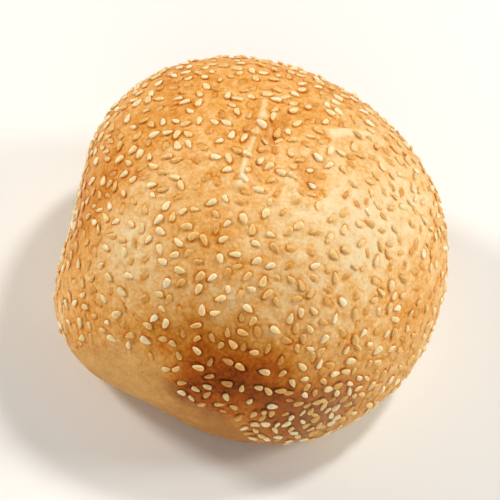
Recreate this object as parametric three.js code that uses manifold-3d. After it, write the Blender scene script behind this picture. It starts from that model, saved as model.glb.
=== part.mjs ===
// A soft round bread roll strewn with sesame seeds. Its domed crown is creased on top, hangs over a little
// at the front right, and leaves a smooth bare arch of crust at the front left. It rests on its flat base.
// Millimetres, +Z up, origin in the middle of the flat base, front towards -Y.
import * as THREE from "three";
import { mergeVertices } from "three/addons/utils/BufferGeometryUtils.js";
import Module from "manifold-3d";

// Driving sizes of the roll
const DIAMETER = 108;
const WIDEST_AT = 20.5; // height of the widest level above the base
const CROWN_RISE = 50; // crown above the widest level
const WAIST_DROP = 32; // how deep the lower half would reach if the base didn't cut it off
const HEIGHT = WIDEST_AT + CROWN_RISE;
const LEAN = [1, -2]; // how far the top leans to the right and to the back
const BASE_FLAT = 0.3; // depth that the base loses by resting flat

// How full each curve is: 2 is an ellipse, more is boxier
const CROWN_FULLNESS = 2.15;
const WAIST_FULLNESS = 2.4;
const BASE_SHARPNESS = 10; // higher is a tighter edge round the base

// Soft swells and hollows of the hand-shaped dough: where, how wide in degrees, and the share of the radius
const SWELLS = [
  { azimuth: 39, elevation: -28, width: 34, share: 0.075 }, // the full low corner at the front right
  { azimuth: -20, elevation: -14, width: 16, share: -0.048 }, // drawn in below the toasted patch
  { azimuth: -89, elevation: 5, width: 27, share: -0.12 }, // flat at the left, where it lay against another
  { azimuth: -57, elevation: -15, width: 27, share: 0.058 }, // the full low corner at the front left
  { azimuth: 96, elevation: 8, width: 36, share: 0.04 }, // fuller at the right
  { azimuth: -140, elevation: 26, width: 38, share: 0.06 }, // the shoulder at the back left
];

// Creases on the crown, each along a few points seen from above: [right, back]
const CREASES = [
  { path: [[-1.9, 12.5], [-2.1, 2.3], [-3.9, -9], [-4.1, -16]], width: 1.2, rise: 1 }, // the long pale ridge
  { path: [[-2.1, 5], [1, 7.7], [5, 12.4]], width: 1.2, rise: 0.7 }, // its branch
  { path: [[4, 7], [1.2, -2], [0.2, -13]], width: 2.6, rise: -1.3 }, // the furrow on its right
  { path: [[-1.9, 3.4], [0, 0.4], [4.4, 2]], width: 1, rise: -0.9 }, // the short fold across it
  { path: [[-13.2, 5], [-10.8, 4], [-8.3, 4.7]], width: 1, rise: -0.5 }, // a short line at the left
  { path: [[14.3, -5.5], [13.9, -11]], width: 4, rise: -1.8 }, // the dimple
  { path: [[7.4, -9], [8.9, -12.4], [11, -16.2]], width: 1.6, rise: 0.8 }, // the small ridge beside the dimple
  { path: [[13, 10.9], [18.6, 12.6], [23, 15]], width: 1.5, rise: -1.1 }, // the line behind the fold
  { path: [[17, 7.2], [21.6, 10.6], [26, 11.9]], width: 2.6, rise: 0.9 }, // the fold itself
];
const CREASE_LEVEL = 45; // creases lie above this height

// The edge of the seeded crust: low all round, high over the bare arch at the front left,
// and still high for a little way under the toasted patch
const SEED_LIMIT = 11;
const LIMIT_WAVE = 2;
const ARCH = { azimuth: -23, width: 18, rise: 22.5, fullness: 3 };
const SHELF = { azimuth: 3, width: 9, rise: 13 };

// How proud the seeded crust stands along its edge: most as a lip under the toasted patch
const LIP = 0.3;
const TOASTED_LIP = { azimuth: -5, width: 10, rise: 1.1 };
const LIP_DEPTH = 3;

// The toasted patch at the front, where few seeds are left
const TOASTED = { azimuth: 2, elevation: 20, width: 13, seeds: 0.12 };

// Sesame seeds: the largest, which stand out from a step away
const SEED_LENGTH = [3.8, 4.6]; // at the widest level, of which about 3 to 3.6 shows
const SEED_WIDTH = 0.62; // share of the length
const SEED_HEIGHT = 0.85; // from its widest level to its top
const SEED_SUNK = 0.17; // how deep the widest level lies in the crust
const SEED_TAPER = 0.3;
const SEED_SIDES = 7;
const SEED_COUNT = 420;
const SEED_SPACING = 4.3;
const CROWDED = { azimuth: 28, elevation: 2, width: 24, spacing: 0.72 }; // closer together at the front right
const UNCROWDED_SHARE = 0.6; // how likely a seed lies elsewhere, compared with there
const BARE_RIDGE = 0.3; // no seed lies where a crease rises more than this
const DRAW_START = 20417;

// Fineness of the skin
const SKIN_DETAIL = 10;
const SKIN_UPWARD = 0.22; // more of the faces lie on the crown
const SMALLEST_EDGE = 0.02;

const MIDDLE = new THREE.Vector3(0, 0, WIDEST_AT);
const DEGREE = Math.PI / 180;

// Unit direction for an azimuth from the front, positive to the right, and an elevation
function direction(azimuth, elevation) {
  const a = azimuth * DEGREE;
  const e = elevation * DEGREE;
  return new THREE.Vector3(Math.cos(e) * Math.sin(a), -Math.cos(e) * Math.cos(a), Math.sin(e));
}

// A bell curve: 1 at 0, falling off over the width
function bell(distance, width) {
  return Math.exp(-((distance / width) ** 2));
}

// 0 below the first edge, 1 above the second, smooth between
function smooth(from, to, value) {
  const t = Math.min(Math.max((value - from) / (to - from), 0), 1);
  return t * t * (3 - 2 * t);
}

// How near a direction is to a named place on the roll, from 0 to 1
function nearness(toward, place) {
  const cosine = Math.min(Math.max(toward.dot(direction(place.azimuth, place.elevation)), -1), 1);
  return bell(Math.acos(cosine) / DEGREE, place.width);
}

// Distance seen from above between a point and a path of points
function pathDistance(x, y, path) {
  let nearest = Infinity;
  for (let i = 0; i + 1 < path.length; i++) {
    const [ax, ay] = path[i];
    const [bx, by] = path[i + 1];
    const along = ((x - ax) * (bx - ax) + (y - ay) * (by - ay)) / ((bx - ax) ** 2 + (by - ay) ** 2);
    const t = Math.min(Math.max(along, 0), 1);
    nearest = Math.min(nearest, Math.hypot(x - ax - t * (bx - ax), y - ay - t * (by - ay)));
  }
  return nearest;
}

// Height of the edge of the seeded crust at an azimuth in degrees
function seedLimit(azimuth) {
  const wave = LIMIT_WAVE * (Math.sin(3 * azimuth * DEGREE - 2.6) - 0.6 * Math.sin(5 * azimuth * DEGREE));
  const arch = Math.exp(-(Math.abs((azimuth - ARCH.azimuth) / ARCH.width) ** ARCH.fullness));
  const shelf = bell(azimuth - SHELF.azimuth, SHELF.width);
  return SEED_LIMIT + wave * (1 - arch) + ARCH.rise * arch + SHELF.rise * shelf;
}

function azimuthOf(point) {
  return Math.atan2(point.x, -point.y) / DEGREE;
}

// The roll's plain form: an ellipse-like crown and waist, swollen and drawn in, cut flat by the base
function plainSkin(toward) {
  const side = Math.hypot(toward.x, toward.y) / (DIAMETER / 2);
  const rise = toward.z > 0 ? CROWN_RISE : WAIST_DROP;
  const fullness = toward.z > 0 ? CROWN_FULLNESS : WAIST_FULLNESS;
  let reach = (side ** fullness + Math.abs(toward.z / rise) ** fullness) ** (-1 / fullness);
  reach *= SWELLS.reduce((sum, swell) => sum + swell.share * nearness(toward, swell), 1);
  if (toward.z < 0) {
    const toBase = WIDEST_AT / -toward.z;
    reach = (reach ** -BASE_SHARPNESS + toBase ** -BASE_SHARPNESS) ** (-1 / BASE_SHARPNESS);
  }
  const point = toward.clone().multiplyScalar(reach).add(MIDDLE);
  point.z = Math.max(point.z - BASE_FLAT, 0);
  point.x += (LEAN[0] * point.z) / HEIGHT;
  point.y += (LEAN[1] * point.z) / HEIGHT;
  return point;
}

// How far the creases lift a point of the plain form
function creaseLift(point) {
  const onCrown = smooth(CREASE_LEVEL, CREASE_LEVEL + 8, point.z);
  let lift = 0;
  for (const crease of CREASES) {
    lift += onCrown * crease.rise * bell(pathDistance(point.x, point.y, crease.path), crease.width);
  }
  return lift;
}

// How far the edge of the seeded crust stands proud at a point of the plain form
function lipLift(point) {
  const azimuth = azimuthOf(point);
  const aboveLimit = point.z - seedLimit(azimuth);
  const toasted = bell(azimuth - TOASTED_LIP.azimuth, TOASTED_LIP.width);
  const proud = LIP + (TOASTED_LIP.rise - LIP) * toasted;
  return proud * smooth(-LIP_DEPTH / 2, LIP_DEPTH / 2, aboveLimit) * bell(Math.max(aboveLimit, 0), 4 * LIP_DEPTH);
}

// The finished skin in a direction from the middle
function skinPoint(toward) {
  const point = plainSkin(toward);
  if (point.z > 0) {
    point.addScaledVector(toward, creaseLift(point) + lipLift(point));
    point.z = Math.max(point.z, 0);
  }
  return point;
}

// The same geometry with its shared corners merged and no flat slivers at its poles
function closedSurface(geometry) {
  geometry.deleteAttribute("normal");
  geometry.deleteAttribute("uv");
  const merged = mergeVertices(geometry, 1e-5);
  const corners = merged.index.array;
  const kept = [];
  for (let i = 0; i < corners.length; i += 3) {
    const [a, b, c] = corners.slice(i, i + 3);
    if (a !== b && b !== c && c !== a) kept.push(a, b, c);
  }
  merged.setIndex(kept);
  return merged;
}

// The dough without its seeds
function coreGeometry() {
  const core = closedSurface(new THREE.IcosahedronGeometry(1, SKIN_DETAIL));
  const places = core.attributes.position;
  const toward = new THREE.Vector3();
  for (let i = 0; i < places.count; i++) {
    toward.fromBufferAttribute(places, i);
    toward.z += SKIN_UPWARD;
    const point = skinPoint(toward.normalize());
    places.setXYZ(i, point.x, point.y, point.z);
  }
  return core;
}

// One seed lying along X: a low drop with a narrower end, its widest level a little sunk
function seedGeometry(length) {
  const seed = new THREE.SphereGeometry(1, SEED_SIDES, 2);
  seed.rotateX(Math.PI / 2);
  const places = seed.attributes.position;
  for (let i = 0; i < places.count; i++) {
    const taper = 1 - SEED_TAPER * places.getX(i);
    places.setY(i, places.getY(i) * taper * SEED_WIDTH);
  }
  seed.scale(length / 2, length / 2, SEED_HEIGHT);
  seed.translate(0, 0, -SEED_SUNK);
  return closedSurface(seed);
}

// Repeatable draws from 0 to 1
let drawState = DRAW_START;
function draw() {
  drawState = (drawState * 1664525 + 1013904223) % 4294967296;
  return drawState / 4294967296;
}

// Where the seeds lie: darts thrown at the roll, kept on the seeded crust and clear of one another
function seedPlaces() {
  const kept = [];
  while (kept.length < SEED_COUNT) {
    const z = 1 - 2 * draw();
    const around = 2 * Math.PI * draw();
    const turn = 2 * Math.PI * draw();
    const size = draw();
    const luck = draw();
    const side = Math.sqrt(1 - z * z);
    const toward = new THREE.Vector3(side * Math.sin(around), -side * Math.cos(around), z);
    const point = skinPoint(toward);
    const crowded = nearness(toward, CROWDED);
    const likely = UNCROWDED_SHARE + (1 - UNCROWDED_SHARE) * crowded;
    if (luck > likely * (1 - (1 - TOASTED.seeds) * nearness(toward, TOASTED))) continue;
    if (point.z < seedLimit(azimuthOf(point)) + 1 || creaseLift(point) > BARE_RIDGE) continue;
    const spacing = SEED_SPACING * (1 - (1 - CROWDED.spacing) * crowded);
    if (kept.some((other) => other.point.distanceTo(point) < spacing)) continue;
    kept.push({ toward, point, turn, size });
  }
  return kept;
}

// The seed of one place, laid half sunk on the skin's face there
function placedSeed(place, skin) {
  const ray = new THREE.Raycaster(MIDDLE, place.toward);
  const hit = ray.intersectObject(skin)[0];
  const up = hit.face.normal;
  const across = new THREE.Vector3(0, 0, 1).cross(up).normalize();
  if (across.lengthSq() < 0.5) across.set(1, 0, 0);
  const along = across.applyAxisAngle(up, place.turn);
  const aside = up.clone().cross(along);
  const seed = seedGeometry(THREE.MathUtils.lerp(SEED_LENGTH[0], SEED_LENGTH[1], place.size));
  seed.applyMatrix4(new THREE.Matrix4().makeBasis(along, aside, up).setPosition(hit.point));
  return seed;
}

const wasm = await Module();
wasm.setup();

function solidOf(geometry) {
  const mesh = new wasm.Mesh({
    numProp: 3,
    vertProperties: geometry.attributes.position.array,
    triVerts: new Uint32Array(geometry.index.array),
  });
  return new wasm.Manifold(mesh);
}

function geometryOf(solid) {
  const mesh = solid.getMesh();
  const geometry = new THREE.BufferGeometry();
  geometry.setAttribute("position", new THREE.BufferAttribute(mesh.vertProperties, 3));
  geometry.setIndex(new THREE.BufferAttribute(mesh.triVerts, 1));
  return geometry;
}

// The whole roll, its seeds fused to the crust
function rollMesh() {
  const core = coreGeometry();
  const skin = new THREE.Mesh(core, new THREE.MeshBasicMaterial({ side: THREE.DoubleSide }));
  const solids = [solidOf(core)];
  for (const place of seedPlaces()) {
    solids.push(solidOf(placedSeed(place, skin)));
  }
  const roll = wasm.Manifold.union(solids).simplify(SMALLEST_EDGE);
  const crust = new THREE.MeshStandardMaterial({ color: 0xe3ad66, roughness: 0.62, metalness: 0 });
  const mesh = new THREE.Mesh(geometryOf(roll), crust);
  mesh.name = "roll";
  return mesh;
}

const breadRoll = new THREE.Group();
breadRoll.add(rollMesh());

export default breadRoll;
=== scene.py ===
"""A soft sesame roll on a pale floor, in metres, +Z up, its front towards -Y.

The crust is one fine skin worked out from the roll's sizes and its named swells, creases and baked places.
The sesame seeds are one joined mesh of seeds at true size, pressed into the crust."""
import math

import bmesh
import bpy
import numpy as np
from mathutils import Matrix, Vector, noise
from mathutils.bvhtree import BVHTree
from mathutils.kdtree import KDTree


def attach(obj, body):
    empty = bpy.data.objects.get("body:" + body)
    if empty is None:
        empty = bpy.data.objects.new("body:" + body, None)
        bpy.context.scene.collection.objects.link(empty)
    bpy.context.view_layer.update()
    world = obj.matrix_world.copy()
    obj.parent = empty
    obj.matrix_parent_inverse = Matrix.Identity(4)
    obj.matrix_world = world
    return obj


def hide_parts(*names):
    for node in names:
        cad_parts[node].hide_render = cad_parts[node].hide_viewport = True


# Driving sizes of the roll, as its solid has them
DIAMETER = 0.108
WIDEST_AT = 0.0205
CROWN_RISE = 0.050
WAIST_DROP = 0.032
HEIGHT = WIDEST_AT + CROWN_RISE
LEAN = (0.001, -0.002)
BASE_FLAT = 0.0003
CROWN_FULLNESS = 2.15
WAIST_FULLNESS = 2.4
BASE_SHARPNESS = 10

# Soft swells and hollows: azimuth, elevation, width in degrees, share of the radius
SWELLS = [
    (39, -28, 34, 0.075),  # the full low corner at the front right
    (-20, -14, 16, -0.048),  # drawn in below the toasted patch
    (-89, 5, 27, -0.12),  # flat at the left, where it lay against another
    (-57, -15, 27, 0.058),  # the full low corner at the front left
    (96, 8, 36, 0.04),  # fuller at the right
    (-140, 26, 38, 0.06),  # the shoulder at the back left
]

# Creases on the crown, seen from above: points (right, back), width, rise
CREASES = [
    # The long pale ridge, and its branch
    ([(-0.0019, 0.0125), (-0.0021, 0.0023), (-0.0039, -0.009), (-0.0041, -0.016)], 0.0012, 0.0010),
    ([(-0.0021, 0.005), (0.001, 0.0077), (0.005, 0.0124)], 0.0012, 0.0007),
    # The furrow on its right, the short fold across it, and a short line at the left
    ([(0.004, 0.007), (0.0012, -0.002), (0.0002, -0.013)], 0.0026, -0.0013),
    ([(-0.0019, 0.0034), (0, 0.0004), (0.0044, 0.002)], 0.0010, -0.0009),
    ([(-0.0132, 0.005), (-0.0108, 0.004), (-0.0083, 0.0047)], 0.0010, -0.0005),
    # The dimple, and the small ridge beside it
    ([(0.0143, -0.0055), (0.0139, -0.011)], 0.0040, -0.0018),
    ([(0.0074, -0.009), (0.0089, -0.0124), (0.011, -0.0162)], 0.0016, 0.0008),
    # The line behind the fold at the right, and the fold itself
    ([(0.013, 0.0109), (0.0186, 0.0126), (0.023, 0.015)], 0.0015, -0.0011),
    ([(0.017, 0.0072), (0.0216, 0.0106), (0.026, 0.0119)], 0.0026, 0.0009),
]
CREASE_LEVEL = 0.045  # creases lie above this height
CREASE_FADE = 0.008  # and have their full depth this much higher

# Edge of the seeded crust, low all round but for the bare arch
SEED_LIMIT = 0.011
LIMIT_WAVE = 0.002
ARCH_AZIMUTH = -23  # it is high over the arch, at the front left
ARCH_WIDTH = 18
ARCH_RISE = 0.0225
ARCH_FULLNESS = 3
SHELF_AZIMUTH = 3  # and still high for a little way under the toasted patch
SHELF_WIDTH = 9
SHELF_RISE = 0.013

# Lip of the seeded crust, proudest where the toasted bulge hangs over the bare waist
LIP = 0.0003
TOASTED_LIP = 0.0011
TOASTED_LIP_AZIMUTH = -5
TOASTED_LIP_WIDTH = 10
LIP_DEPTH = 0.003  # height over which it steps out from the waist
LIP_TAIL = 4  # it sinks back into the crust over this many times that height

# Fineness of the skin
SKIN_SUBDIVISIONS = 6
SKIN_CUTS = 2
SKIN_UPWARD = 0.22  # more of the faces lie on the crown

# Fine relief of the baked skin: how wide its bumps are and how high
LUMP_SIZE = 0.020
LUMP_HEIGHT = 0.00032
GRAIN_SIZE = 0.0028
GRAIN_HEIGHT = 0.00016
BLISTER_SIZE = 0.0022
BLISTER_HEIGHT = 0.00022
BLISTERED = (0.3, 0.6)  # a blister starts, and is highest, at these levels of its noise
WRINKLE_SIZE = 0.0011
WRINKLE_HEIGHT = 0.00008
WRINKLE_AROUND = 0.040  # radius at which a wrinkle is as wide as its size
WRINKLE_UPWARD = 0.12  # its width as a share of its length, which runs upright
WRINKLE_CLEAR = (0.008, 0.018)  # wrinkles fade out this near the upright axis
WAIST_GRAIN = 0.6  # the waist has less grain than the crown
WAIST_WRINKLES = 0.5  # and lower wrinkles
STANDING_FROM = 0.003  # the relief fades out below this height, so that the base is flat

# How the edge of the seeded crust wanders, and the height over which its colour fades to the waist's
EDGE_WANDER = 0.0016
EDGE_WANDER_SIZE = 0.007
EDGE_FADE = 0.0075
FADE_SPAN = (-1.0, 0.8)  # it starts this many of these heights from the edge, and ends this many above it
LIP_FADE_LESS = 0.0052  # lower by this much along the toasted lip
TOUCHED = (38, 75)  # degrees from the bare arch to where the waist was covered while baking, and is paler
UNDERSIDE = 0.004  # the tray-baked colour of the base reaches this high

# How far each place is baked, on top of the even crust, with some places darkened as painted shade: azimuth,
# elevation, width in degrees, amount
EVEN_BAKE = 0.235
UNEVEN_BAKE = 0.05
UNEVEN_BAKE_SIZE = 0.016
BAKED_AND_SHADED_PLACES = [
    (-24, 24, 8, 0.12),  # the toasted patch, left to right
    (-11, 23, 8, 0.28),
    (2, 22, 8.5, 0.32),
    (14, 21, 8, 0.24),
    (-8, 27, 4, 0.10),  # its brown upper edge
    (1, 31, 4, 0.12),
    (14, 25, 4, 0.12),
    (-6, 14, 6, 0.29),  # its darkest band, just above the lip
    (4, 16, 6, 0.34),
    (14, 12, 6, 0.29),
    (-10, 8, 5, 0.28),  # its lip
    (0, 6, 6, 0.26),
    (-22, 37, 7, 0.06),  # amber above the toasted patch
    (-42, 12, 14, 0.12),  # golden at the lower left
    (26, 3, 14, 0.42),  # brown at the lower front right, and darker as painted shade under the overhang
    (24, 18, 6, 0.10),
    (37, 8, 7, 0.20),
    (2, -14, 22, 0.26),  # the waist under the toasted patch, browner, and darker as painted shade low at the front
    (-78, 31, 21, 0.24),  # orange edge at the left, partly golden crust and partly painted shade
    (-107, 56, 22, 0.04),  # golden top
    (-120, 68, 12, 0.06),
    (-160, 52, 34, 0.10),
    (-130, 38, 14, 0.08),  # golden rim at the back, partly painted shade where the light falls off
    (155, 44, 14, 0.12),
    (120, 48, 14, -0.06),  # paler at the back right
    (63, 27, 13, 0.12),  # golden edge at the right
    (65, 73, 4.5, 0.12),  # in the dimple and below it
    (47, 69, 4, 0.10),
    (-14, 57, 5, 0.07),  # below the long ridge
    (0, 38, 20, 0.04),  # the middle
    (9, 43, 8, -0.05),  # paler just right of it
    (41, 75, 3, -0.08),  # floury between the golden places
    (60, 57, 20, -0.19),  # floury at the right
    (80, 38, 20, -0.08),
    (-47, 40, 16, -0.13),  # floury at the left
    (-30, 54, 9, 0.09),  # golden between there and the long ridge
]
RIDGE_PALER = 0.22
PALE_RISE = (0.0005, 0.00095)  # a ridge starts to pale, and is palest, where it rises this much
FURROW_SHADE = 45  # painted shade: a furrow is darker by this much for each metre that it sinks
SHADED_LOW_FRONT = (23, -4, 19)  # painted shade: here, low at the front right under the overhang, the crust between the crowded seeds takes the waist's tan
SHADED_LOW_FRONT_SHARE = 0.65
TOASTED = (2, 20, 13)
TOASTED_SEEDS = 0.12  # share of the seeds that is left in its middle

# Sesame seeds
DRAW_START = 20417
LARGE_SEEDS = 420  # the first ones, wider apart, which the solid has too
ALL_SEEDS = 1250
LARGE_SPACING = 0.0043
SMALL_SPACING = 0.0028
CROWDED = (28, 2, 24)  # closer together at the front right
CROWDED_SPACING = 0.72
UNCROWDED_SHARE = 0.6  # how likely a seed lies elsewhere, compared with there
BARE_RIDGE = 0.0003  # no seed lies where a crease rises more than this
EDGE_CLEAR = 0.001  # nor this near the edge of the crust
SEED_SIZES = (0.0021, 0.0031)  # lengths of the shortest and the longest
SEED_WIDTH = 0.55  # share of the length
SEED_WIDTH_RANGE = (0.88, 0.26)  # the narrowest seed, and how much wider the widest is
SEED_THICKNESS = 0.30
SEED_TAPER = 0.34  # how much narrower its tip is than its blunt end
SEED_POINTED = 0.95  # how pointed its ends are
SEED_TIP_MORE = 0.2  # the tip is more pointed by this much, and the blunt end less
SEED_SIDES = 0.85  # below 1 it is squarer than an ellipse, here across its width
SEED_FACES = 0.75  # and here across its thickness
SEED_THIN_ENDS = 0.6  # how its thickness follows its width towards the ends
SEED_BEND = 0.10  # range of its sideways bend, as a share of its length
SEED_EDGE_FALL = 5  # how closely the paler rim keeps to its edge
SEED_TIP_FALL = 4  # and to its tips
SEED_RINGS = 8
SEED_SEGMENTS = 10
LIFTED_SHARE = 0.22  # of the seeds stand with one side up
LIFTED_ROLL = 76  # range in degrees
LYING_ROLL = 24
SEED_PITCH = 14
BURIED_FROM = 0.62  # a draw above this half buries a seed that isn't lifted
BURIED_DEPTH = 0.00022  # depth of a half-buried seed's middle, before all are lifted
LYING_DEPTH = -0.00018  # and of the others', which lies above the skin
DEPTH_RANGE = 0.00012
SEED_PROUD = 0.00012  # all are lifted by this much

# How toasted the seeds are, from 0 to 1
PALEST_TONE = 0.04
TONE_RANGE = 0.30
TONE_CURVE = 1.4
TOASTED_TONE = 0.25  # more in the toasted patch
BURIED_TONE = 0.34
BURIED_TONE_RISE = 0.5

# The marks seeds leave in the crust: sunk, and browned and darkened in a ring, partly painted shade, in half
# lengths from the seed's middle
MARK_REACH = 0.85  # of the seed's length
SINK_DEPTH = 0.00012
SINK_RING = 1.12
SINK_WIDTH = 0.32
RIM_RING = 1.16
RIM_WIDTH = 0.30
RIM_LEAST = 0.12  # on its paler side
RIM_CROWDED = 0.8  # more where the seeds are crowded, as painted shade between them
RIM_BROWNING_AND_SHADE = 0.30  # how much further the ring is baked and darkened, partly painted shade

# Colours by how far the crust, the bare waist and the seeds are baked
BAKED_COLOURS = [
    (0.0, "#F4DBAC"), (0.14, "#F1CA90"), (0.26, "#EAB26A"), (0.38, "#E09B46"), (0.50, "#D08228"),
    (0.62, "#C16514"), (0.74, "#AC520D"), (0.86, "#863A06"), (1.0, "#602A04"),
]
WAIST_COLOURS = [(0.12, "#F0C47E"), (0.24, "#E6B068"), (0.44, "#C28544"), (0.64, "#965E2E")]
SEED_COLOURS = [
    (0.0, "#FFF1CE"), (0.2, "#F8DCA2"), (0.4, "#EBBB6C"), (0.6, "#DB9A42"), (0.8, "#BA6E28"),
    (1.0, "#8A4A18"),
]
FLOUR = "#F8E4B6"
PALE_WAIST = ("#E4C48E", "#F0DCB2")
TRAY_BAKED = ("#C88F48", "#DBAE6C")
FLOOR = ("#EDEBE7", "#F1F0EC")

# Uneven colour: size of its lumps, detail, roughness, and how far it goes down and up
PATCHES = (0.009, 4.0, 0.6, -0.085, 0.085)
MOTTLE = (0.0026, 4.0, 0.65, -0.09, 0.09)
SPECKLE = (0.0009, 3.0, 0.6, -0.09, 0.09)
WAIST_MOTTLE = (0.005, 5.0, 0.7, -0.07, 0.07)
WAIST_SPECKLE = 0.5  # share of the crust's speckle
WAIST_CLOUDS = (0.012, 4.0, 0.6, 0.0, 1.0)
SEED_SPECKLE = (0.0009, 2.0, 0.5, -0.07, 0.07)
FLOOR_CLOUDS = (0.4, 2.0, 0.4, 0.0, 1.0)
MOST_NOISE = (0.3, 0.7)  # nearly all of a noise texture lies between these

# Flour, brown specks, gloss and seed tones: the range of one value, then the range that it makes of another
FLOUR_GRAIN = (0.0010, 4.0, 0.7)  # size, detail, roughness
FLOURED = (0.54, 0.70)  # flour starts, and is thickest, at these levels of its noise
FLOUR_BY_LEVEL = (0.15, 0.55, 0.50, 0.0)
SPECK_SPACING = 0.0045
SPECK_BY_DISTANCE = (0.03, 0.09, 0.22, 0.0)
ROUGH_BY_LEVEL = (0.15, 0.65, 0.60, 0.26)
SEED_FACE_TONE = (0.0, 0.8, 0.10, -0.04)  # by how near the edge
SEED_SHADE = (0.0, 1.0, -0.05, 0.08)  # by each seed's own draw

# Bumps: size, detail and roughness of the noise, then strength and height
SKIN_BUMPS = ((0.0022, 3.0, 0.55), (0.5, 0.0005))
PORES = ((0.0007, 3.0, 0.6), (0.5, 0.0002))
SEED_BUMPS = ((0.0005, 2.0, 0.5), (0.2, 0.0001))

FLOOR_HALF = 2.5
FLOOR_BELOW = 0.0001

# Studio lights: name, azimuth, elevation, distance, size, power, tint
DAYLIGHT = (1.0, 0.98, 0.95)
LIGHTS = [
    ("key", 138, 58, 1.2, 0.18, 6.8, DAYLIGHT),
    ("right", 102, 30, 1.1, 0.3, 4.6, DAYLIGHT),
    ("left", -105, 31, 1.1, 0.25, 7.0, DAYLIGHT),
    ("front", 4, 30, 1.5, 1.0, 5.4, (1.0, 0.96, 0.88)),
]
SURROUND_STRENGTH = 0.20

# The photographed view
CAMERA_ELEVATION = 53
CAMERA_TURN = 11  # the picture is turned by this much
CAMERA_DISTANCE = 0.437
CAMERA_AIM_BELOW = 0.0082  # it aims this far below the roll's middle
CAMERA_LENS = 115.0

MIDDLE = np.array([0, 0, WIDEST_AT])


# Form of the skin, in arrays of directions or points

def direction(azimuth, elevation):
    """Unit direction for an azimuth from the front, positive to the right, and an elevation, in degrees."""
    a, e = math.radians(azimuth), math.radians(elevation)
    return np.array([math.cos(e) * math.sin(a), -math.cos(e) * math.cos(a), math.sin(e)])


def smooth(start, end, values):
    """0 below start, 1 above end, smooth between."""
    t = np.clip((values - start) / (end - start), 0, 1)
    return t * t * (3 - 2 * t)


def bell(distance, width):
    """1 at 0, falling off over the width."""
    return np.exp(-((distance / width) ** 2))


def nearness(toward, azimuth, elevation, width):
    """How near directions are to a named place, from 0 to 1."""
    cosine = np.clip(toward @ direction(azimuth, elevation), -1, 1)
    return bell(np.degrees(np.arccos(cosine)), width)


def path_distance(x, y, path):
    """Distance seen from above between points and a path."""
    nearest = np.full(len(x), np.inf)
    for (ax, ay), (bx, by) in zip(path, path[1:]):
        along = ((x - ax) * (bx - ax) + (y - ay) * (by - ay)) / ((bx - ax) ** 2 + (by - ay) ** 2)
        t = np.clip(along, 0, 1)
        nearest = np.minimum(nearest, np.hypot(x - ax - t * (bx - ax), y - ay - t * (by - ay)))
    return nearest


def azimuths(points):
    return np.degrees(np.arctan2(points[:, 0], -points[:, 1]))


def seed_limit(azimuth):
    """Height of the edge of the seeded crust."""
    angle = np.radians(azimuth)
    wave = LIMIT_WAVE * (np.sin(3 * angle - 2.6) - 0.6 * np.sin(5 * angle))
    arch = np.exp(-(np.abs((azimuth - ARCH_AZIMUTH) / ARCH_WIDTH) ** ARCH_FULLNESS))
    shelf = bell(azimuth - SHELF_AZIMUTH, SHELF_WIDTH)
    return SEED_LIMIT + wave * (1 - arch) + ARCH_RISE * arch + SHELF_RISE * shelf


def at_toasted_lip(azimuth):
    """1 where the crust's edge is a toasted lip, 0 where it fades into the waist."""
    return bell(azimuth - TOASTED_LIP_AZIMUTH, TOASTED_LIP_WIDTH)


def plain_skin(toward):
    """The roll's plain form in directions from its middle."""
    across = np.hypot(toward[:, 0], toward[:, 1]) / (DIAMETER / 2)
    up = toward[:, 2] > 0
    rise = np.where(up, CROWN_RISE, WAIST_DROP)
    fullness = np.where(up, CROWN_FULLNESS, WAIST_FULLNESS)
    reach = (across**fullness + np.abs(toward[:, 2] / rise) ** fullness) ** (-1 / fullness)
    reach *= 1 + sum(share * nearness(toward, a, e, w) for a, e, w, share in SWELLS)
    to_base = WIDEST_AT / np.maximum(-toward[:, 2], 1e-6)
    cut = (reach**-BASE_SHARPNESS + to_base**-BASE_SHARPNESS) ** (-1 / BASE_SHARPNESS)
    reach = np.where(up, reach, cut)
    points = MIDDLE + toward * reach[:, None]
    points[:, 2] = np.maximum(points[:, 2] - BASE_FLAT, 0)
    points[:, 0] += LEAN[0] * points[:, 2] / HEIGHT
    points[:, 1] += LEAN[1] * points[:, 2] / HEIGHT
    return points


def crease_lift(points):
    """How far the creases lift points of the plain form."""
    lift = np.zeros(len(points))
    for path, width, rise in CREASES:
        lift += rise * bell(path_distance(points[:, 0], points[:, 1], path), width)
    return lift * smooth(CREASE_LEVEL, CREASE_LEVEL + CREASE_FADE, points[:, 2])


def lip_lift(points, uneven=0):
    """How far the edge of the seeded crust stands proud at points of the plain form."""
    azimuth = azimuths(points)
    above = points[:, 2] - seed_limit(azimuth) + uneven
    proud = LIP + (TOASTED_LIP - LIP) * at_toasted_lip(azimuth)
    sinking = bell(np.maximum(above, 0), LIP_TAIL * LIP_DEPTH)
    return proud * smooth(-LIP_DEPTH / 2, LIP_DEPTH / 2, above) * sinking


def skin(toward, uneven=0):
    """The finished large form in directions from the middle."""
    points = plain_skin(toward)
    lift = np.where(points[:, 2] > 0, crease_lift(points) + lip_lift(points, uneven), 0)
    points += toward * lift[:, None]
    points[:, 2] = np.maximum(points[:, 2], 0)
    return points


def noise_at(points, size, octaves=2):
    """Smooth seeded noise, about -1 to 1, with lumps of this size."""
    return np.array([noise.fractal(Vector(p / size), 1.0, 2.0, octaves) for p in points])


# Sesame seeds

class Draws:
    """Repeatable draws from 0 to 1."""

    def __init__(self, start):
        self.state = start

    def next(self):
        self.state = (self.state * 1664525 + 1013904223) % 4294967296
        return self.state / 4294967296


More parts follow.
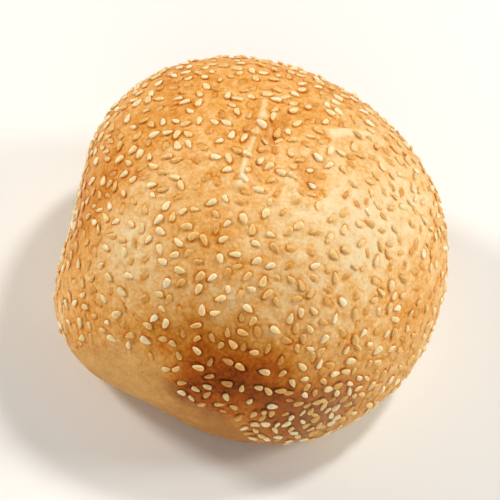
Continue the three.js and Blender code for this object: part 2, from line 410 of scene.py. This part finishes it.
def seed_places():
    """Where the seeds lie: darts thrown at the roll, kept on the seeded crust and clear of one another."""
    draws = Draws(DRAW_START)
    kept = []
    points = np.zeros((ALL_SEEDS, 3))
    while len(kept) < ALL_SEEDS:
        z = 1 - 2 * draws.next()
        around = 2 * math.pi * draws.next()
        turn = 2 * math.pi * draws.next()
        size = draws.next()
        luck = draws.next()
        side = math.sqrt(1 - z * z)
        toward = np.array([[side * math.sin(around), -side * math.cos(around), z]])
        point = skin(toward)
        crowded = nearness(toward, *CROWDED)[0]
        likely = UNCROWDED_SHARE + (1 - UNCROWDED_SHARE) * crowded
        if luck > likely * (1 - (1 - TOASTED_SEEDS) * nearness(toward, *TOASTED)[0]):
            continue
        lowest = seed_limit(azimuths(point))[0] + EDGE_CLEAR
        if point[0, 2] < lowest or crease_lift(point)[0] > BARE_RIDGE:
            continue
        spacing = LARGE_SPACING if len(kept) < LARGE_SEEDS else SMALL_SPACING
        spacing *= 1 - (1 - CROWDED_SPACING) * crowded
        if kept and np.linalg.norm(points[: len(kept)] - point, axis=1).min() < spacing:
            continue
        points[len(kept)] = point[0]
        kept.append({"toward": toward[0], "turn": turn, "size": size})
    return kept


def seed_tone(tone, buried, toasted):
    """How toasted a seed is: a half-buried one is nearly as brown as the crust."""
    if buried:
        return BURIED_TONE + BURIED_TONE_RISE * (tone - BURIED_FROM)
    return PALEST_TONE + TONE_RANGE * min(1, tone / BURIED_FROM) ** TONE_CURVE + TOASTED_TONE * toasted


def laid_seeds(places, tree):
    """Each seed's place on the skin, its frame, its size and how deep, how toasted and how crowded it is."""
    laid = []
    draws = Draws(DRAW_START + 1)
    for place in places:
        hit, up, _, _ = tree.ray_cast(Vector(MIDDLE), Vector(place["toward"]))
        tilt, roll, sunk, tone, shape, shadow = (draws.next() for _ in range(6))
        along = Vector((0, 0, 1)).cross(up).normalized()
        along.rotate(Matrix.Rotation(place["turn"], 3, up))
        aside = up.cross(along)
        lifted = shape < LIFTED_SHARE
        roll_range = LIFTED_ROLL if lifted else LYING_ROLL
        rolled = Matrix.Rotation(math.radians(roll_range) * (roll - 0.5), 3, along)
        leaning = Matrix.Rotation(math.radians(SEED_PITCH) * (tilt - 0.5), 3, aside) @ rolled
        frame = Matrix((along, aside, up)).transposed()
        toward = np.array([place["toward"]])
        toasted = float(nearness(toward, *TOASTED)[0])
        buried = tone > BURIED_FROM and not lifted
        laid.append({
            "at": hit,
            "up": up,
            "frame": leaning @ frame,
            "flat_frame": frame,
            "length": SEED_SIZES[0] + (SEED_SIZES[1] - SEED_SIZES[0]) * place["size"],
            "width": SEED_WIDTH * (SEED_WIDTH_RANGE[0] + SEED_WIDTH_RANGE[1] * shape),
            "darker_side": 2 * math.pi * shadow,
            "crowded": float(nearness(toward, *CROWDED)[0]),
            "depth": (BURIED_DEPTH if buried else LYING_DEPTH) + DEPTH_RANGE * sunk,
            "tone": seed_tone(tone, buried, toasted),
        })
    return laid


def seed_form():
    """One seed, long in X and flat in Z: its points, its faces and how near the edge each point is."""
    points, faces, edge = [], [], []
    for ring in range(SEED_RINGS + 1):
        s = math.pi * ring / SEED_RINGS
        x = -math.cos(s)
        half = math.sin(s) ** (SEED_POINTED + SEED_TIP_MORE * x) * (1 - SEED_TAPER * x)
        for segment in range(SEED_SEGMENTS):
            t = 2 * math.pi * segment / SEED_SEGMENTS
            y = math.copysign(abs(math.cos(t)) ** SEED_SIDES, math.cos(t))
            z = math.copysign(abs(math.sin(t)) ** SEED_FACES, math.sin(t))
            points.append((x / 2, half * y / 2, half ** SEED_THIN_ENDS * z / 2))
            edge.append(max(abs(math.cos(t)) ** SEED_EDGE_FALL, abs(x) ** SEED_TIP_FALL))
    for ring in range(SEED_RINGS):
        for segment in range(SEED_SEGMENTS):
            a = ring * SEED_SEGMENTS + segment
            b = ring * SEED_SEGMENTS + (segment + 1) % SEED_SEGMENTS
            faces.append((a, a + SEED_SEGMENTS, b + SEED_SEGMENTS, b))
    return np.array(points), np.array(faces), np.array(edge, float)


def make_mesh(name, points, faces, attributes):
    """A smooth mesh object with one number for each point in each named attribute."""
    mesh = bpy.data.meshes.new(name)
    mesh.from_pydata(points.tolist(), [], faces.tolist())
    for attribute, values in attributes.items():
        data = mesh.attributes.new(attribute, "FLOAT", "POINT").data
        data.foreach_set("value", np.asarray(values, np.float32))
    mesh.shade_smooth()
    mesh.update()
    thing = bpy.data.objects.new(name, mesh)
    bpy.context.scene.collection.objects.link(thing)
    return thing


def make_seeds(laid):
    """All sesame seeds as one mesh."""
    form, faces, edge = seed_form()
    points, joined, tones, edges, shades = [], [], [], [], []
    draws = Draws(DRAW_START + 2)
    for number, seed in enumerate(laid):
        length, width = seed["length"], seed["width"]
        bend = SEED_BEND * (draws.next() - 0.5)
        local = form * [1, width, SEED_THICKNESS]
        local[:, 1] += bend * (4 * form[:, 0] ** 2 - 0.5)
        frame = np.array(seed["frame"])
        centre = np.array(seed["at"]) - np.array(seed["up"]) * (seed["depth"] - SEED_PROUD)
        points.append(local * length @ frame.T + centre)
        joined.append(faces + number * len(form))
        tones.append(np.full(len(form), seed["tone"]))
        edges.append(edge)
        shades.append(np.full(len(form), draws.next()))
    seeds = make_mesh("sesame_seeds", np.concatenate(points), np.concatenate(joined), {
        "tone": np.concatenate(tones), "edge": np.concatenate(edges), "shade": np.concatenate(shades)})
    clean = bmesh.new()
    clean.from_mesh(seeds.data)
    bmesh.ops.remove_doubles(clean, verts=clean.verts, dist=1e-7)
    clean.to_mesh(seeds.data)
    clean.free()
    return seeds


# Crust

def sphere_grid():
    """Unit directions and triangles, more of them towards the crown."""
    grid = bmesh.new()
    bmesh.ops.create_icosphere(grid, subdivisions=SKIN_SUBDIVISIONS, radius=1)
    bmesh.ops.subdivide_edges(grid, edges=grid.edges[:], cuts=SKIN_CUTS, use_grid_fill=True)
    bmesh.ops.triangulate(grid, faces=grid.faces[:])
    toward = np.array([v.co for v in grid.verts])
    grid.verts.index_update()
    faces = np.array([[v.index for v in f.verts] for f in grid.faces])
    grid.free()
    toward /= np.linalg.norm(toward, axis=1, keepdims=True)
    toward[:, 2] += SKIN_UPWARD
    return toward / np.linalg.norm(toward, axis=1, keepdims=True), faces


def fine_relief(points, toward, seeded):
    """Lumps, grain, blisters and upright stretch wrinkles of the baked skin, in metres."""
    lumps = LUMP_HEIGHT * noise_at(points, LUMP_SIZE)
    grain = GRAIN_HEIGHT * noise_at(points, GRAIN_SIZE, 3)
    blistered = smooth(*BLISTERED, noise_at(points, BLISTER_SIZE)) * nearness(toward, *TOASTED)
    azimuth = np.radians(azimuths(points))
    across = np.hypot(points[:, 0], points[:, 1])
    upward = WRINKLE_UPWARD * points[:, 2]
    stretched = np.stack([WRINKLE_AROUND * azimuth, WRINKLE_UPWARD * across, upward], axis=1)
    wrinkles = WRINKLE_HEIGHT * noise_at(stretched, WRINKLE_SIZE) * smooth(*WRINKLE_CLEAR, across)
    on_crown = seeded * (grain + wrinkles + BLISTER_HEIGHT * blistered)
    on_waist = (1 - seeded) * (WAIST_GRAIN * grain + WAIST_WRINKLES * wrinkles)
    return lumps + on_crown + on_waist


def seed_marks(points, laid):
    """Around each seed the crust sinks a little and browns and darkens, partly painted shade: both as arrays
    over the skin's points.
    """
    tree = KDTree(len(points))
    for index, point in enumerate(points):
        tree.insert(point, index)
    tree.balance()
    sink, rim = np.zeros(len(points)), np.zeros(len(points))
    for seed in laid:
        found = tree.find_range(seed["at"], MARK_REACH * seed["length"])
        frame = np.array(seed["flat_frame"])
        indices = [index for _, index, _ in found]
        local = (points[indices] - np.array(seed["at"])) @ frame
        half_length = seed["length"] / 2
        half_width = seed["length"] * seed["width"] / 2
        away = np.hypot(local[:, 0] / half_length, local[:, 1] / half_width)
        sink[indices] = np.maximum(sink[indices], bell(away - SINK_RING, SINK_WIDTH))
        side = 0.5 + 0.5 * np.cos(np.arctan2(local[:, 1], local[:, 0]) - seed["darker_side"])
        darkened = bell(away - RIM_RING, RIM_WIDTH) * (RIM_LEAST + (1 - RIM_LEAST) * side)
        darkened *= 1 + RIM_CROWDED * seed["crowded"]
        rim[indices] = np.maximum(rim[indices], darkened)
    return sink, rim


def make_crust():
    """The roll's skin and the seeds' places on it."""
    toward, faces = sphere_grid()
    edge_noise = EDGE_WANDER * noise_at(plain_skin(toward), EDGE_WANDER_SIZE, 3)
    points = skin(toward, edge_noise)
    azimuth = azimuths(points)
    fade = EDGE_FADE - LIP_FADE_LESS * at_toasted_lip(azimuth)
    above_edge = points[:, 2] - seed_limit(azimuth) + edge_noise
    seeded = smooth(*FADE_SPAN, above_edge / fade)
    standing = smooth(0.0, STANDING_FROM, points[:, 2])
    points += toward * (fine_relief(points, toward, seeded) * standing)[:, None]
    laid = laid_seeds(seed_places(), BVHTree.FromPolygons(points.tolist(), faces.tolist()))
    sink, rim = seed_marks(points, laid)
    points -= toward * (SINK_DEPTH * sink)[:, None]
    points[:, 2] = np.maximum(points[:, 2], 0)
    # how far each place is baked, plus the places darkened as painted shade
    bake_and_shade = EVEN_BAKE + sum(amount * nearness(toward, a, e, w) for a, e, w, amount in BAKED_AND_SHADED_PLACES)
    bake_and_shade += UNEVEN_BAKE * noise_at(points, UNEVEN_BAKE_SIZE, 3)
    creased = crease_lift(points)
    # painted shade: the furrows of the creases are darker
    bake_and_shade += FURROW_SHADE * np.maximum(-creased, 0) - RIDGE_PALER * smooth(*PALE_RISE, creased)
    away = np.abs((azimuth - ARCH_AZIMUTH + 180) % 360 - 180)
    # painted shade: low at the front right the crust takes the waist's colour, for the shade under the
    # overhang
    golden = seeded * (1 - SHADED_LOW_FRONT_SHARE * nearness(toward, *SHADED_LOW_FRONT))
    crust = make_mesh("crust", points, faces, {
        "bake_and_shade": bake_and_shade, "golden": golden, "rim": rim, "touched": smooth(*TOUCHED, away),
        "under": 1 - smooth(0.0, UNDERSIDE, points[:, 2])})
    return crust, laid


# Materials

def colour(code):
    """Linear colour of a hex code."""
    parts = [int(code[i:i + 2], 16) / 255 for i in (1, 3, 5)]
    return (*[c / 12.92 if c <= 0.04045 else ((c + 0.055) / 1.055) ** 2.4 for c in parts], 1)


class Look:
    """A material's nodes, each made, set and linked in one call that returns its output."""

    def __init__(self, name):
        self.material = bpy.data.materials.new(name)
        self.material.use_nodes = True
        self.tree = self.material.node_tree
        self.shader = self.tree.nodes["Principled BSDF"]

    def put(self, socket, value):
        if isinstance(value, bpy.types.NodeSocket):
            self.tree.links.new(value, socket)
        else:
            socket.default_value = value

    def node(self, kind, inputs, output=0, **settings):
        made = self.tree.nodes.new(kind)
        for key, value in settings.items():
            setattr(made, key, value)
        for key, value in inputs.items():
            self.put(made.inputs[key], value)
        return made.outputs[output]

    def attribute(self, name):
        return self.node("ShaderNodeAttribute", {}, "Fac", attribute_name=name)

    def place(self):
        return self.node("ShaderNodeTexCoord", {}, "Object")

    def noise(self, size, detail, rough):
        inputs = {"Vector": self.place(), "Scale": 1 / size, "Detail": detail, "Roughness": rough}
        return self.node("ShaderNodeTexNoise", inputs, "Fac")

    def math(self, operation, a, b):
        return self.node("ShaderNodeMath", {0: a, 1: b}, operation=operation)

    def spread(self, value, low, high, to_low=0.0, to_high=1.0):
        inputs = {"Value": value, "From Min": low, "From Max": high, "To Min": to_low, "To Max": to_high}
        return self.node("ShaderNodeMapRange", inputs)

    def uneven(self, size, detail, rough, low, high):
        """Noise with lumps of this size, from low to high."""
        return self.spread(self.noise(size, detail, rough), *MOST_NOISE, low, high)

    def ramp(self, value, stops):
        made = self.tree.nodes.new("ShaderNodeValToRGB")
        band = made.color_ramp
        while len(band.elements) < len(stops):
            band.elements.new(0.5)
        for element, (at, code) in zip(band.elements, stops):
            element.position = at
            element.color = colour(code)
        self.put(made.inputs[0], value)
        return made.outputs[0]

    def mix(self, share, a, b):
        made = self.tree.nodes.new("ShaderNodeMix")
        made.data_type = "RGBA"
        self.put(made.inputs[0], share)
        self.put(made.inputs[6], a)
        self.put(made.inputs[7], b)
        return made.outputs[2]

    def bumps(self, grain, lift, normal=None):
        """The normal of a bumpy surface, on top of another normal."""
        strength, distance = lift
        inputs = {"Height": self.noise(*grain), "Strength": strength, "Distance": distance}
        if normal:
            inputs["Normal"] = normal
        return self.node("ShaderNodeBump", inputs)

    def finished(self, inputs):
        """The material, with these inputs of its shader set or linked."""
        for key, value in inputs.items():
            self.put(self.shader.inputs[key], value)
        return self.material


def crust_look():
    """Baked crust: floury beige to golden, amber, brown and dark by how far each place is baked, with some
    places darkened as painted shade.
    """
    look = Look("baked_crust")
    bake_and_shade, golden, rim = look.attribute("bake_and_shade"), look.attribute("golden"), look.attribute("rim")
    speckle = look.uneven(*SPECKLE)
    patched = look.math("ADD", bake_and_shade, look.uneven(*PATCHES))
    level = look.math("ADD", patched, look.math("ADD", look.uneven(*MOTTLE), speckle))
    # the rings round the seeds: real browning and painted shade
    level = look.math("ADD", level, look.math("MULTIPLY", rim, RIM_BROWNING_AND_SHADE))
    flour = look.spread(look.noise(*FLOUR_GRAIN), *FLOURED)
    floury = look.math("MULTIPLY", flour, look.spread(level, *FLOUR_BY_LEVEL))
    baked = look.mix(floury, look.ramp(level, BAKED_COLOURS), colour(FLOUR))
    waist = bare_waist(look, bake_and_shade, speckle)
    return look.finished({
        "Base Color": look.mix(golden, waist, baked),
        "Roughness": look.spread(level, *ROUGH_BY_LEVEL),
        "Normal": look.bumps(*SKIN_BUMPS, look.bumps(*PORES)),
        "Specular IOR Level": 0.06,
        "Subsurface Weight": 0.05,
        "Subsurface Radius": (0.0014, 0.0009, 0.0005),
        "Subsurface Scale": 1.0,
    })


def bare_waist(look, bake_and_shade, speckle):
    """Colour below the crust: tan with brown specks, pale where it was covered, browner at the base."""
    level = look.math("ADD", bake_and_shade, look.uneven(*WAIST_MOTTLE))
    level = look.math("ADD", level, look.math("MULTIPLY", speckle, WAIST_SPECKLE))
    cells = {"Vector": look.place(), "Scale": 1 / SPECK_SPACING}
    from_speck = look.node("ShaderNodeTexVoronoi", cells, "Distance")
    level = look.math("ADD", level, look.spread(from_speck, *SPECK_BY_DISTANCE))
    tone = look.uneven(*WAIST_CLOUDS)
    pale = look.mix(tone, *map(colour, PALE_WAIST))
    waist = look.mix(look.attribute("touched"), look.ramp(level, WAIST_COLOURS), pale)
    return look.mix(look.attribute("under"), waist, look.mix(tone, *map(colour, TRAY_BAKED)))


def seed_look():
    """Sesame seeds, cream to toasted, a little darker away from their edges and tips."""
    look = Look("sesame")
    face = look.spread(look.attribute("edge"), *SEED_FACE_TONE)
    level = look.math("ADD", look.attribute("tone"), face)
    level = look.math("ADD", level, look.uneven(*SEED_SPECKLE))
    level = look.math("ADD", level, look.spread(look.attribute("shade"), *SEED_SHADE))
    return look.finished({
        "Base Color": look.ramp(level, SEED_COLOURS),
        "Roughness": 0.42,
        "Normal": look.bumps(*SEED_BUMPS),
        "Subsurface Weight": 0.2,
        "Subsurface Radius": (0.0012, 0.0008, 0.0004),
        "Subsurface Scale": 1.0,
    })


def floor_look():
    look = Look("pale_floor")
    tone = look.uneven(*FLOOR_CLOUDS)
    return look.finished({"Base Color": look.mix(tone, *map(colour, FLOOR)), "Roughness": 0.8})


# Stage

def make_floor():
    ground = bmesh.new()
    bmesh.ops.create_grid(ground, x_segments=8, y_segments=8, size=FLOOR_HALF)
    mesh = bpy.data.meshes.new("floor")
    ground.to_mesh(mesh)
    ground.free()
    floor = bpy.data.objects.new("floor", mesh)
    floor.location.z = -FLOOR_BELOW
    bpy.context.scene.collection.objects.link(floor)
    mesh.materials.append(floor_look())


def make_light(name, azimuth, elevation, distance, size, power, tint):
    data = bpy.data.lights.new(name, "AREA")
    data.shape = "DISK"
    data.size = size
    data.energy = power
    data.color = tint
    light = bpy.data.objects.new(name, data)
    away = Vector(direction(azimuth, elevation))
    light.location = Vector((0, 0, HEIGHT / 2)) + away * distance
    light.rotation_euler = away.to_track_quat("Z", "Y").to_euler()
    bpy.context.scene.collection.objects.link(light)


def make_lights():
    for light in LIGHTS:
        make_light(*light)
    world = bpy.data.worlds.new("studio")
    world.use_nodes = True
    surround = world.node_tree.nodes["Background"]
    surround.inputs["Color"].default_value = (*DAYLIGHT, 1)
    surround.inputs["Strength"].default_value = SURROUND_STRENGTH
    bpy.context.scene.world = world


def make_camera():
    """The photographed view: looking down at the roll's front, the picture turned a little."""
    elevation, turn = math.radians(CAMERA_ELEVATION), math.radians(CAMERA_TURN)
    back = Vector((0, -math.cos(elevation), math.sin(elevation)))
    level_right = Vector((1, 0, 0))
    level_up = back.cross(level_right)
    right = math.cos(turn) * level_right + math.sin(turn) * level_up
    up = math.cos(turn) * level_up - math.sin(turn) * level_right
    aim = Vector((0, 0, HEIGHT / 2)) - up * CAMERA_AIM_BELOW
    camera = bpy.data.objects.new("camera", bpy.data.cameras.new("camera"))
    camera.data.lens = CAMERA_LENS
    camera.data.sensor_width = 36
    camera.data.clip_start = 0.01
    camera.matrix_world = Matrix.LocRotScale(aim + back * CAMERA_DISTANCE,
                                             Matrix((right, up, back)).transposed(), None)
    bpy.context.scene.collection.objects.link(camera)
    bpy.context.scene.camera = camera


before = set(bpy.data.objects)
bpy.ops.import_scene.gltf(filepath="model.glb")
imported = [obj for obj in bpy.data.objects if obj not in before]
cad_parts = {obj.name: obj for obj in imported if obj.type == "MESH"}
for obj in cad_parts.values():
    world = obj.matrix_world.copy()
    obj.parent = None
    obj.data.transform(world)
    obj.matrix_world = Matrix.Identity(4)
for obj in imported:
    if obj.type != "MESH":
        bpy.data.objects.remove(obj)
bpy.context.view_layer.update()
make_camera()
crust, laid = make_crust()
crust.data.materials.append(crust_look())
seeds = make_seeds(laid)
seeds.data.materials.append(seed_look())
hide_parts("roll")
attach(crust, "root")
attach(seeds, "root")
make_floor()
make_lights()
bpy.context.scene.view_settings.view_transform = "Standard"
